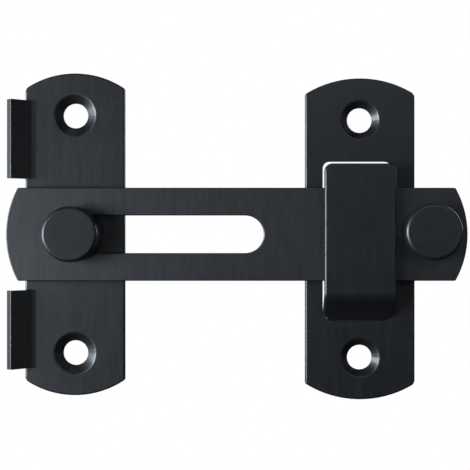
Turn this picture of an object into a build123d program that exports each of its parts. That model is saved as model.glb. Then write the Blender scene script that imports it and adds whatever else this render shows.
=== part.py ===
"""Toggle bolt latch: a slotted bar swings and slides on a pivot post, and drops into a strap keeper.

Millimetres. X runs from the base plate towards the keeper plate, Z is up, and the wall's face is Y = 0.
Everything stands off the wall towards -Y, so a distance from the wall is written here as a positive number.
The origin is the pivot's axis on the wall's face, midway between the base plate's two screw holes.
"""

import math
import os

from build123d import *

# Sheet, and how high the pieces run above the wall
SHEET = 2.0
BAR_BACK = 3.0
BAR_FRONT = BAR_BACK + SHEET
RUNNING_GAP = 0.05

# Plates
BASE_WIDTH = 24.0
BASE_LENGTH = 77.7
BASE_CROWN = 3.7
KEEPER_X = 68.75
KEEPER_Z = -1.1
KEEPER_WIDTH = 26.4
KEEPER_LENGTH = 77.5
KEEPER_CROWN = 3.8
OUTER_CORNER = 1.6
INNER_CORNER = 0.5
PLATE_EDGE_ROUND = 0.45
BACK_EDGE_CHAMFER = 0.15

# Screw holes, two in each plate
SCREW_SPACING = 57.4
SCREW_HOLE_DIA = 6.0
BASE_COUNTERSINK_DIA = 10.0
KEEPER_COUNTERSINK_DIA = 9.2
COUNTERSINK_DEPTH = 1.5
COUNTERSINK_MOUTH_ROUND = 0.8

# Ears on the base plate's outer edge: they park the bar when it stands upright
EAR_ROOT_X = -9.3
EAR_NEAR_Z = 13.4
EAR_FAR_Z = 32.2
EAR_LEAN = 40.0
EAR_INNER_RADIUS = 2.3
EAR_RISE = 3.8
EAR_EDGE_ROUND = 0.2
EAR_RELIEF = 0.05

# Sliding bar
BAR_WIDTH = 22.2
BAR_LEFT = -16.0
BAR_RIGHT = 94.05
BAR_LEFT_CROWN = 2.8
BAR_RIGHT_CROWN = 2.9
BAR_CORNER = 0.6
BAR_EDGE_ROUND = 0.25
SLOT_WIDTH = 9.0
SLOT_TRAVEL = 41.0

# Knobs
PIVOT_KNOB_DIA = 13.0
HANDLE_KNOB_DIA = 13.3
KNOB_HEIGHT = 5.7
KNOB_EDGE_ROUND = 0.75
KNOB_FOOT_CHAMFER = 0.2
HANDLE_X = 85.1
HANDLE_Z = 0.6
SHANK_DIA = 6.0
TAIL_DIA = 8.0
TAIL_DEPTH = 0.9
DIMPLE_DIA = 2.4
DIMPLE_DEPTH = 0.4

# Pivot post and its washers
POST_DIA = 8.8
WASHER_BORE = 9.0
REAR_WASHER_DIA = 13.0
FRONT_WASHER_DIA = 12.6
FRONT_WASHER_THICKNESS = 0.4
WASHER_EDGE = 0.1

# Strap, lanced out of the keeper plate and open at its top
STRAP_LEFT = 59.8
STRAP_RIGHT = 76.65
STRAP_TOP = 16.75
STRAP_TOP_CORNER = 1.8
STRAP_ROOT = -21.0
STRAP_ROOT_CORNER = 3.0
STRAP_SLOPE = 45.0
STRAP_BEND_RADIUS = 1.0
STRAP_UNDERSIDE = 5.5
STRAP_EDGE_ROUND = 0.45
WINDOW_TOP = 17.6
LANCE_KERF = 0.05

RISING = (Align.CENTER, Align.CENTER, Align.MIN)


def slab(outline, back, front):
    """Solid between two distances from the wall, cut to an outline drawn in X and Z."""
    return extrude(Plane.XZ.offset(back) * outline, amount=front - back)


def round_bar(radius, back, front, x=0.0, z=0.0):
    """Cylinder standing off the wall between two distances from it."""
    return Plane.XZ.offset(back) * Pos(x, z, 0) * Cylinder(radius, front - back, align=RISING)


def taper(back_radius, front_radius, back, front, x=0.0, z=0.0):
    """Cone standing off the wall between two distances from it."""
    return Plane.XZ.offset(back) * Pos(x, z, 0) * Cone(back_radius, front_radius, front - back, align=RISING)


def edges_at(solid, distance):
    """Edges of a solid that lie wholly at one distance from the wall."""
    return solid.edges().filter_by_position(Axis.Y, -distance - 0.001, -distance + 0.001)


def bowed_blank(left, right, length, left_corner, right_corner, crown):
    """Outline of a plate with straight long sides and bowed ends, centred on Z = 0."""
    side = length / 2 - crown
    middle = (left + right) / 2
    outline = make_face(
        [
            Line((right, -side), (right, side)),
            ThreePointArc((right, side), (middle, length / 2), (left, side)),
            Line((left, side), (left, -side)),
            ThreePointArc((left, -side), (middle, -length / 2), (right, -side)),
        ]
    )
    outline = fillet(outline.vertices().filter_by_position(Axis.X, left - 0.01, left + 0.01), left_corner)
    return fillet(outline.vertices().filter_by_position(Axis.X, right - 0.01, right + 0.01), right_corner)


def plate(outline):
    """Stamped plate against the wall: its punched front edge is rounded and its back edge just broken."""
    solid = slab(outline, 0, SHEET)
    solid = fillet(edges_at(solid, SHEET), PLATE_EDGE_ROUND)
    return chamfer(edges_at(solid, 0), BACK_EDGE_CHAMFER)


def screw_hole(countersink_dia, x, z):
    """Countersunk hole: a straight land at the back and a cone that opens to the front."""
    land = round_bar(SCREW_HOLE_DIA / 2, -1, SHEET + 1, x, z)
    slope = (countersink_dia - SCREW_HOLE_DIA) / 2 / COUNTERSINK_DEPTH
    overshoot = 0.5
    mouth_radius = countersink_dia / 2 + slope * overshoot
    cone = taper(SCREW_HOLE_DIA / 2, mouth_radius, SHEET - COUNTERSINK_DEPTH, SHEET + overshoot, x, z)
    return land + cone


def with_screw_holes(solid, countersink_dia, x, middle_z):
    """Plate with its screw holes cut above and below its middle, and their mouths rounded by the coating."""
    for side in (1, -1):
        solid -= screw_hole(countersink_dia, x, middle_z + side * SCREW_SPACING / 2)
    mouth_radius = countersink_dia / 2
    rings = edges_at(solid, SHEET).filter_by(GeomType.CIRCLE)
    mouths = [ring for ring in rings if abs(ring.radius - mouth_radius) < 0.01]
    return fillet(mouths, COUNTERSINK_MOUTH_ROUND)


def riveted_shank(back, front, x=0.0, z=0.0):
    """Shank through a sheet, its tail spread into a countersink and flush with the sheet's back."""
    shank = round_bar(SHANK_DIA / 2, back, front, x, z)
    return shank + taper(TAIL_DIA / 2, SHANK_DIA / 2, back, back + TAIL_DEPTH, x, z)


def tail_dimple(back, x=0.0, z=0.0):
    """Shallow cone that the riveting tool leaves in the middle of a tail."""
    return taper(DIMPLE_DIA / 2, 0, back, back + DIMPLE_DEPTH, x, z)


def knob_head(diameter, back, x=0.0, z=0.0):
    """Plain round head with a rounded front edge and a broken back edge."""
    front = back + KNOB_HEIGHT
    head = round_bar(diameter / 2, back, front, x, z)
    head = fillet(edges_at(head, front), KNOB_EDGE_ROUND)
    return chamfer(edges_at(head, back), KNOB_FOOT_CHAMFER)


def washer(outer_dia, back, front):
    """Flat ring that runs on the post, with its outer edges broken."""
    ring = round_bar(outer_dia / 2, back, front)
    ring = chamfer(ring.edges().filter_by(GeomType.CIRCLE), WASHER_EDGE)
    return ring - round_bar(WASHER_BORE / 2, back - 1, front + 1)


def ear(near_z, far_z):
    """Strip of the plate's edge bent forwards and outwards, between two heights."""
    lean = math.radians(EAR_LEAN)
    mid_radius = EAR_INNER_RADIUS + SHEET / 2
    straight = (EAR_RISE - EAR_INNER_RADIUS * (1 - math.cos(lean))) / math.sin(lean)
    setback = mid_radius * math.tan(lean / 2)
    middle = -SHEET / 2
    corner = (EAR_ROOT_X - setback, middle)
    reach = setback + straight
    tip = (corner[0] - reach * math.cos(lean), middle - reach * math.sin(lean))
    centre_line = FilletPolyline((EAR_ROOT_X + 1, middle), corner, tip, radius=mid_radius)
    section = trace(centre_line, line_width=SHEET)
    tip_corners = section.vertices().sort_by(Axis.X)[:2]
    section = fillet(tip_corners, EAR_EDGE_ROUND)
    return extrude(Plane.XY.offset(near_z) * section, amount=far_z - near_z)


def ear_notch(near_z, far_z):
    """Where the sheet has left the plate to become an ear, with a narrow relief at each end."""
    height = far_z - near_z + 2 * EAR_RELIEF
    reach = 5.0
    notch = Box(reach, 3 * SHEET, height, align=(Align.MAX, Align.CENTER, Align.CENTER))
    return Pos(EAR_ROOT_X, 0, (near_z + far_z) / 2) * notch


def base_plate():
    """Left plate: two countersunk holes, the riveted pivot's hole, and two ears on its outer edge."""
    half = BASE_WIDTH / 2
    solid = plate(bowed_blank(-half, half, BASE_LENGTH, OUTER_CORNER, INNER_CORNER, BASE_CROWN))
    for low, high in ((EAR_NEAR_Z, EAR_FAR_Z), (-EAR_FAR_Z, -EAR_NEAR_Z)):
        solid -= ear_notch(low, high)
        solid += ear(low, high)
    solid = with_screw_holes(solid, BASE_COUNTERSINK_DIA, 0, 0)
    return solid - riveted_shank(0, SHEET)


def bar_outline():
    """Outline of the bar, bowed at both ends."""
    half = BAR_WIDTH / 2
    left = BAR_LEFT + BAR_LEFT_CROWN
    right = BAR_RIGHT - BAR_RIGHT_CROWN
    outline = make_face(
        [
            Line((left, half), (right, half)),
            ThreePointArc((right, half), (BAR_RIGHT, 0), (right, -half)),
            Line((right, -half), (left, -half)),
            ThreePointArc((left, -half), (BAR_LEFT, 0), (left, half)),
        ]
    )
    return fillet(outline.vertices(), BAR_CORNER)


def latch_bar():
    """Bar with the long slot that the pivot post runs in, and the handle's riveted hole."""
    slot = Pos(SLOT_TRAVEL / 2, 0) * SlotCenterToCenter(SLOT_TRAVEL, SLOT_WIDTH)
    solid = slab(bar_outline() - slot, BAR_BACK, BAR_FRONT)
    solid = fillet(edges_at(solid, BAR_FRONT), BAR_EDGE_ROUND)
    solid = chamfer(edges_at(solid, BAR_BACK), BACK_EDGE_CHAMFER)
    return solid - riveted_shank(BAR_BACK, BAR_FRONT, HANDLE_X, HANDLE_Z)


def handle_knob():
    """Knob at the bar's free end, riveted through the bar."""
    knob = knob_head(HANDLE_KNOB_DIA, BAR_FRONT, HANDLE_X, HANDLE_Z)
    knob += riveted_shank(BAR_BACK, BAR_FRONT, HANDLE_X, HANDLE_Z)
    return knob - tail_dimple(BAR_BACK, HANDLE_X, HANDLE_Z)


def head_seat():
    """Distance from the wall to the underside of the pivot's head."""
    return BAR_FRONT + FRONT_WASHER_THICKNESS + 2 * RUNNING_GAP


def pivot_knob():
    """Pivot in one piece: head, post that the bar runs on, and a shank riveted through the base plate."""
    knob = knob_head(PIVOT_KNOB_DIA, head_seat())
    knob += round_bar(POST_DIA / 2, SHEET, head_seat())
    knob += riveted_shank(0, SHEET)
    return knob - tail_dimple(0)


def rear_washer():
    """Ring that holds the bar off the base plate."""
    return washer(REAR_WASHER_DIA, SHEET + RUNNING_GAP, BAR_BACK - RUNNING_GAP)


def front_washer():
    """Thin ring between the bar and the pivot's head."""
    return washer(FRONT_WASHER_DIA, BAR_FRONT + RUNNING_GAP, head_seat() - RUNNING_GAP)


def strap_section():
    """Side view of the strap, drawn in Y and Z: up the plate, out over the bar's space, and up again."""
    slope = math.radians(STRAP_SLOPE)
    mid_radius = STRAP_BEND_RADIUS + SHEET / 2
    setback = mid_radius * math.tan(slope / 2)
    plate_middle = SHEET / 2
    strap_middle = STRAP_UNDERSIDE + SHEET / 2
    first_corner = STRAP_ROOT + setback
    second_corner = first_corner + (strap_middle - plate_middle) / math.tan(slope)
    centre_line = FilletPolyline(
        (-plate_middle, STRAP_ROOT - 1),
        (-plate_middle, first_corner),
        (-strap_middle, second_corner),
        (-strap_middle, STRAP_TOP),
        radius=mid_radius,
    )
    return trace(centre_line, line_width=SHEET)


def strap_blank(top, margin):
    """Outline of the strap from its root up to a height, wider than the strap by a margin on each side."""
    width = STRAP_RIGHT - STRAP_LEFT + 2 * margin
    middle = Pos((STRAP_LEFT + STRAP_RIGHT) / 2, (top + STRAP_ROOT) / 2)
    blank = middle * Rectangle(width, top - STRAP_ROOT)
    corners = blank.vertices().sort_by(Axis.Y)
    blank = fillet(corners[:2], STRAP_ROOT_CORNER)
    return fillet(blank.vertices().sort_by(Axis.Y)[-2:], STRAP_TOP_CORNER + margin)


def faces_out(face):
    """True for a face of the strap that looks away from the wall, level or sloping."""
    return face.normal_at().Y < -0.5


def is_wall(face):
    """True for a face of the strap that was sheared square to the sheet."""
    return abs(face.normal_at().Y) < 0.01 and face.center().Y < 0


def strap():
    """Tongue of the keeper plate that stands out over the bar, its sheared front edges rounded."""
    width = STRAP_RIGHT - STRAP_LEFT
    solid = extrude(Plane.YZ.offset(STRAP_LEFT) * strap_section(), amount=width)
    solid &= slab(strap_blank(STRAP_TOP, 0), -1, STRAP_UNDERSIDE + 2 * SHEET)
    outer = [edge for face in solid.faces().filter_by(faces_out) for edge in face.edges()]
    sheared = [edge for face in solid.faces().filter_by(is_wall) for edge in face.edges()]
    rounded = [edge for edge in outer if any(edge.is_same(other) for other in sheared)]
    return fillet(rounded, STRAP_EDGE_ROUND)


def window():
    """Opening that the strap leaves in the plate, wider than the strap by the lancing cut."""
    return slab(strap_blank(WINDOW_TOP, LANCE_KERF), -1, SHEET + 1)


def strap_root():
    """Sheet that joins the strap to the plate, between the rounded ends of the two lancing cuts."""
    width = STRAP_RIGHT - STRAP_LEFT - 2 * STRAP_ROOT_CORNER
    overlap = 0.5
    joint = Pos((STRAP_LEFT + STRAP_RIGHT) / 2, STRAP_ROOT) * Rectangle(width, 2 * overlap)
    return slab(joint, 0, SHEET)


def keeper_plate():
    """Right plate: two countersunk holes and the lanced strap that catches the bar."""
    half = KEEPER_WIDTH / 2
    blank = bowed_blank(-half, half, KEEPER_LENGTH, INNER_CORNER, OUTER_CORNER, KEEPER_CROWN)
    solid = Pos(KEEPER_X, 0, KEEPER_Z) * plate(blank)
    solid = with_screw_holes(solid, KEEPER_COUNTERSINK_DIA, KEEPER_X, KEEPER_Z)
    solid -= window()
    return solid + strap_root() + strap()


def write(name, solid):
    """Writes one piece as parts/NAME.step."""
    solid.label = name
    export_step(solid, os.path.join("parts", name + ".step"))


os.makedirs("parts", exist_ok=True)
for piece in (base_plate, pivot_knob, rear_washer, front_washer, latch_bar, handle_knob, keeper_plate):
    write(piece.__name__, piece())
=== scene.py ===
"""Looks for the toggle bolt latch: satin black sheet and turned knobs, face on, in soft light from the left."""

import math

import bpy
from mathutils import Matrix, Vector


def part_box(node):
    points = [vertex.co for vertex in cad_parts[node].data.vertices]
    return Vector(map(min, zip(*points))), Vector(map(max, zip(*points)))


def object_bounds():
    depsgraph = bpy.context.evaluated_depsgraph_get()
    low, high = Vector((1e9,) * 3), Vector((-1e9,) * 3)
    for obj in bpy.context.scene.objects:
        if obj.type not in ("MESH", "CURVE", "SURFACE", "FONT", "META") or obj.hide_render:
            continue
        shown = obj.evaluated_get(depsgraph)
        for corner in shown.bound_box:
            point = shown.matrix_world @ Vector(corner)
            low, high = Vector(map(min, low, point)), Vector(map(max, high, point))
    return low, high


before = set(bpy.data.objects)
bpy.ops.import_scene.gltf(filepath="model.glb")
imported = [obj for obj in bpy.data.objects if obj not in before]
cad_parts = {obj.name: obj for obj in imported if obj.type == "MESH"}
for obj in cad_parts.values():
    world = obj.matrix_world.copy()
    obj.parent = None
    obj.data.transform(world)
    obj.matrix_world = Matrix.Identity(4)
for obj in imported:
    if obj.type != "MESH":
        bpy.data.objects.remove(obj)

CAD_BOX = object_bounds()
MM = 0.001

# Camera, face on to the plates
EYE_TO_BAR = 242 * MM
HALF_FIELD = math.radians(13.02)
SENSOR = 36.0
AIM_ASIDE = -0.43 * MM
AIM_UP = 0.33 * MM

# Stage
FLOOR_DROP = 80 * MM
FLOOR_SIZE = 12.0
FLOOR_PAINT = 0.03
LIGHT_DISTANCE = 0.6
LIGHT_TINT = (0.90, 0.98, 1.09)
SOFTBOXES = (
    # name, azimuth, elevation, width and height, radiance
    ("key_left", -59, 0, (0.45, 0.24), 18.5),
    ("rim_left", -108, 0, (0.30, 0.30), 0.8),
    ("left_low", -30, -12, (0.16, 0.16), 5.0),
    ("front_fill", -2, 0, (0.20, 0.20), 0.27),
    ("upper_right", 20, 25, (0.45, 0.24), 1.0),
    ("right_side", 34, 0, (0.24, 0.24), 0.35),
    ("far_right", 78, 0, (0.30, 0.24), 0.32),
    ("overhead", -10, 75, (0.30, 0.30), 0.4),
    ("back_right", 140, 20, (0.50, 0.40), 2.2),
    ("back_left", -145, 20, (0.50, 0.40), 2.2),
)

# Coating
COAT_DARK = (0.0042, 0.0048, 0.0054)
COAT_LIGHT = (0.0075, 0.0083, 0.0092)
# Lighter, glossier colour along every edge, in patches: partly coating wear, partly a painted highlight on the
# rims
RIM_WEAR_AND_HIGHLIGHT_COLOUR = (0.055, 0.058, 0.062)
RIM_WEAR_AND_HIGHLIGHT_REACH = 0.22 * MM
RIM_POLISH = 0.08
RIM_LEAST = 0.35
UPRIGHT_GRAIN = (1.3 * MM, 1.3 * MM, 9 * MM)
TURNED_GRAIN = (1.4 * MM, 1.4 * MM, 1.4 * MM)
PEEL_SIZE = 0.45 * MM
CLOUD_SIZE = 9 * MM
DUST_SIZE = 0.12 * MM
MARKS_HEIGHT = 0.005 * MM
PEEL_HEIGHT = 0.010 * MM
DUST_HEIGHT = 0.0012 * MM
SHEET_ROUGHNESS = (0.38, 0.47)
KNOB_ROUGHNESS = (0.38, 0.46)

# Washers
NYLON_DARK = (0.018, 0.018, 0.019)
NYLON_LIGHT = (0.032, 0.032, 0.034)
NYLON_SPECKLE = 0.2 * MM
NYLON_BUMP = 0.006 * MM

# How far the rounded and the true normals agree, off an edge and on it
EDGE_BLUNT = 0.97
EDGE_SHARP = 0.80

# Middle part of a noise, where nearly all its values lie
NOISE_LOW = 0.35
NOISE_HIGH = 0.65


class Nodes:
    """Short calls for building a material's or a world's node tree."""

    def __init__(self, owner):
        owner.use_nodes = True
        self.tree = owner.node_tree
        self.tree.nodes.clear()

    def add(self, kind, **inputs):
        """Adds a node. An input is a value, or another node's output socket, named with _ for spaces."""
        made = self.tree.nodes.new(kind)
        for name, value in inputs.items():
            self.set(made.inputs[name.replace("_", " ")], value)
        return made

    def set(self, socket, value):
        if isinstance(value, bpy.types.NodeSocket):
            self.tree.links.new(value, socket)
        else:
            socket.default_value = value

    def math(self, operation, first, second=0.0):
        made = self.tree.nodes.new("ShaderNodeMath")
        made.operation = operation
        self.set(made.inputs[0], first)
        self.set(made.inputs[1], second)
        return made.outputs[0]

    def span(self, value, low, high, to_low=0.0, to_high=1.0):
        """Maps a number from one span to another, held inside it."""
        made = self.add("ShaderNodeMapRange", Value=value)
        for name, number in (("From Min", low), ("From Max", high), ("To Min", to_low), ("To Max", to_high)):
            made.inputs[name].default_value = number
        return made.outputs["Result"]

    def mix_colour(self, share, first, second):
        made = self.tree.nodes.new("ShaderNodeMix")
        made.data_type = "RGBA"
        self.set(made.inputs[0], share)
        self.set(made.inputs[6], first)
        self.set(made.inputs[7], second)
        return made.outputs[2]

    def place(self, scale):
        """The piece's own coordinates, each multiplied by its own scale."""
        coordinates = self.tree.nodes.new("ShaderNodeTexCoord").outputs["Object"]
        made = self.add("ShaderNodeMapping", Vector=coordinates)
        made.inputs["Scale"].default_value = scale
        return made.outputs["Vector"]

    def noise(self, place, detail=2.0, roughness=0.5):
        made = self.add("ShaderNodeTexNoise", Vector=place, Scale=1.0, Detail=detail, Roughness=roughness)
        return made.outputs["Fac"]

    def bump(self, height, distance, normal=None):
        made = self.add("ShaderNodeBump", Height=height, Strength=1.0, Distance=distance)
        if normal is not None:
            self.set(made.inputs["Normal"], normal)
        return made.outputs["Normal"]


def per_metre(width):
    """How many of something that wide there are in a metre."""
    return 1 / width


def rgba(colour):
    return (*colour, 1.0)


def edge_mask(nodes, reach):
    """1 along sharp edges, fading to 0 within a distance of them."""
    rounded = nodes.tree.nodes.new("ShaderNodeBevel")
    rounded.samples = 6
    rounded.inputs["Radius"].default_value = reach
    true_normal = nodes.tree.nodes.new("ShaderNodeNewGeometry").outputs["Normal"]
    agree = nodes.tree.nodes.new("ShaderNodeVectorMath")
    agree.operation = "DOT_PRODUCT"
    nodes.set(agree.inputs[0], rounded.outputs["Normal"])
    nodes.set(agree.inputs[1], true_normal)
    return nodes.span(agree.outputs["Value"], EDGE_BLUNT, EDGE_SHARP)


def coated_metal(name, grain, roughness, gloss):
    """Thin satin black coating. grain is the size along X, Y and Z of the brush marks that show through it."""
    material = bpy.data.materials.new(name)
    nodes = Nodes(material)
    marks = nodes.noise(nodes.place([per_metre(size) for size in grain]), detail=3.0, roughness=0.6)
    peel = nodes.noise(nodes.place([per_metre(PEEL_SIZE)] * 3))
    cloud = nodes.noise(nodes.place([per_metre(CLOUD_SIZE)] * 3))
    dust = nodes.noise(nodes.place([per_metre(DUST_SIZE)] * 3), detail=1.0)
    patchy = nodes.span(cloud, NOISE_LOW, NOISE_HIGH, RIM_LEAST, 1.0)
    # Patchy rim along every edge, painted lighter and made glossier: partly wear, partly a painted highlight
    rim_wear_and_highlight = nodes.math("MULTIPLY", edge_mask(nodes, RIM_WEAR_AND_HIGHLIGHT_REACH), patchy)

    tone = nodes.math("ADD", nodes.math("MULTIPLY", cloud, 0.55), nodes.math("MULTIPLY", marks, 0.45))
    colour = nodes.mix_colour(nodes.span(tone, NOISE_LOW, NOISE_HIGH), rgba(COAT_DARK), rgba(COAT_LIGHT))
    colour = nodes.mix_colour(nodes.math("MULTIPLY", rim_wear_and_highlight, 0.5), colour, rgba(RIM_WEAR_AND_HIGHLIGHT_COLOUR))

    uneven = nodes.math("ADD", nodes.math("MULTIPLY", marks, 0.5), nodes.math("MULTIPLY", peel, 0.5))
    rough = nodes.span(uneven, NOISE_LOW, NOISE_HIGH, *roughness)
    rough = nodes.math("SUBTRACT", rough, nodes.math("MULTIPLY", rim_wear_and_highlight, RIM_POLISH))

    normal = nodes.bump(marks, MARKS_HEIGHT)
    normal = nodes.bump(peel, PEEL_HEIGHT, normal)
    normal = nodes.bump(dust, DUST_HEIGHT, normal)

    shader = nodes.add("ShaderNodeBsdfPrincipled", Base_Color=colour, Roughness=rough, Normal=normal, IOR=1.5,
                       Specular_IOR_Level=gloss, Coat_Weight=0.35, Coat_Roughness=0.2, Coat_IOR=1.5)
    nodes.add("ShaderNodeOutputMaterial", Surface=shader.outputs["BSDF"])
    return material


def nylon(name):
    """Plain black moulded nylon, matt, with a fine moulded texture."""
    material = bpy.data.materials.new(name)
    nodes = Nodes(material)
    speckle = nodes.noise(nodes.place([per_metre(NYLON_SPECKLE)] * 3), detail=3.0)
    colour = nodes.mix_colour(speckle, rgba(NYLON_DARK), rgba(NYLON_LIGHT))
    rough = nodes.span(speckle, 0.3, 0.7, 0.5, 0.65)
    normal = nodes.bump(speckle, NYLON_BUMP)
    shader = nodes.add("ShaderNodeBsdfPrincipled", Base_Color=colour, Roughness=rough, Normal=normal)
    nodes.add("ShaderNodeOutputMaterial", Surface=shader.outputs["BSDF"])
    return material


def dress(node, material):
    """Gives a CAD node its finished material."""
    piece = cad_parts[node]
    for held in piece.material_slots:
        held.material = material
    if not piece.material_slots:
        piece.data.materials.append(material)


def dress_all():
    """Coats the sheet pieces and the turned knobs, each with its own gloss, and leaves the washers nylon."""
    base = coated_metal("black_base_coat", UPRIGHT_GRAIN, SHEET_ROUGHNESS, gloss=0.54)
    keeper = coated_metal("black_keeper_coat", UPRIGHT_GRAIN, SHEET_ROUGHNESS, gloss=0.51)
    bar = coated_metal("black_bar_coat", UPRIGHT_GRAIN, SHEET_ROUGHNESS, gloss=0.76)
    pivot = coated_metal("black_pivot_coat", TURNED_GRAIN, KNOB_ROUGHNESS, gloss=0.45)
    handle = coated_metal("black_handle_coat", TURNED_GRAIN, KNOB_ROUGHNESS, gloss=0.66)
    ring = nylon("black_nylon")
    for node, material in (
        ("base_plate", base),
        ("keeper_plate", keeper),
        ("latch_bar", bar),
        ("pivot_knob", pivot),
        ("handle_knob", handle),
        ("rear_washer", ring),
        ("front_washer", ring),
    ):
        dress(node, material)


def make_camera():
    """A long lens square to the plates, at the height of the bar."""
    middle = (CAD_BOX[0] + CAD_BOX[1]) / 2
    bar_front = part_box("latch_bar")[0].y
    lens = bpy.data.cameras.new("camera")
    lens.sensor_width = SENSOR
    lens.lens = SENSOR / 2 / math.tan(HALF_FIELD)
    lens.clip_start = 10 * MM
    lens.clip_end = 100.0
    camera = bpy.data.objects.new("camera", lens)
    camera.location = (middle.x + AIM_ASIDE, bar_front - EYE_TO_BAR, middle.z + AIM_UP)
    camera.rotation_euler = (math.radians(90), 0, 0)
    bpy.context.scene.collection.objects.link(camera)
    bpy.context.scene.camera = camera


def softbox(name, azimuth, elevation, size, radiance):
    """Rectangular soft light round the object: azimuth 0 is in front of it and negative is to its left."""
    middle = (CAD_BOX[0] + CAD_BOX[1]) / 2
    around, up = math.radians(azimuth), math.radians(elevation)
    towards = Vector((math.sin(around) * math.cos(up), -math.cos(around) * math.cos(up), math.sin(up)))
    lamp = bpy.data.lights.new(name, "AREA")
    lamp.shape = "RECTANGLE"
    lamp.size, lamp.size_y = size
    lamp.energy = radiance * math.pi * size[0] * size[1]
    lamp.color = LIGHT_TINT
    holder = bpy.data.objects.new(name, lamp)
    holder.location = middle + towards * LIGHT_DISTANCE
    holder.rotation_euler = (-towards).to_track_quat("-Z", "Y").to_euler()
    holder.visible_camera = False
    bpy.context.scene.collection.objects.link(holder)


def make_lights():
    for settings in SOFTBOXES:
        softbox(*settings)


def make_world():
    """White for the camera and black for everything else."""
    world = bpy.data.worlds.new("studio")
    bpy.context.scene.world = world
    nodes = Nodes(world)
    seen = nodes.tree.nodes.new("ShaderNodeLightPath").outputs["Is Camera Ray"]
    white = nodes.add("ShaderNodeBackground", Color=(1, 1, 1, 1), Strength=1.0)
    black = nodes.add("ShaderNodeBackground", Color=(1, 1, 1, 1), Strength=0.0)
    both = nodes.add("ShaderNodeMixShader", Fac=seen)
    nodes.set(both.inputs[1], black.outputs[0])
    nodes.set(both.inputs[2], white.outputs[0])
    nodes.add("ShaderNodeOutputWorld", Surface=both.outputs[0])


def make_floor():
    """Plain floor some way below the latch: white to the camera, and dark paint to every other ray."""
    half = FLOOR_SIZE / 2
    level = CAD_BOX[0].z - FLOOR_DROP
    mesh = bpy.data.meshes.new("floor")
    corners = [(-half, -half, level), (half, -half, level), (half, half, level), (-half, half, level)]
    mesh.from_pydata(corners, [], [(0, 1, 2, 3)])
    floor = bpy.data.objects.new("floor", mesh)
    bpy.context.scene.collection.objects.link(floor)
    material = bpy.data.materials.new("pale_floor")
    nodes = Nodes(material)
    seen = nodes.tree.nodes.new("ShaderNodeLightPath").outputs["Is Camera Ray"]
    paint = nodes.add("ShaderNodeBsdfDiffuse", Color=rgba([FLOOR_PAINT] * 3))
    lit = nodes.add("ShaderNodeEmission", Color=(1, 1, 1, 1), Strength=1.0)
    both = nodes.add("ShaderNodeMixShader", Fac=seen)
    nodes.set(both.inputs[1], paint.outputs[0])
    nodes.set(both.inputs[2], lit.outputs[0])
    nodes.add("ShaderNodeOutputMaterial", Surface=both.outputs[0])
    mesh.materials.append(material)


bpy.context.scene.view_settings.view_transform = "Standard"
dress_all()
make_camera()
make_lights()
make_world()
make_floor()
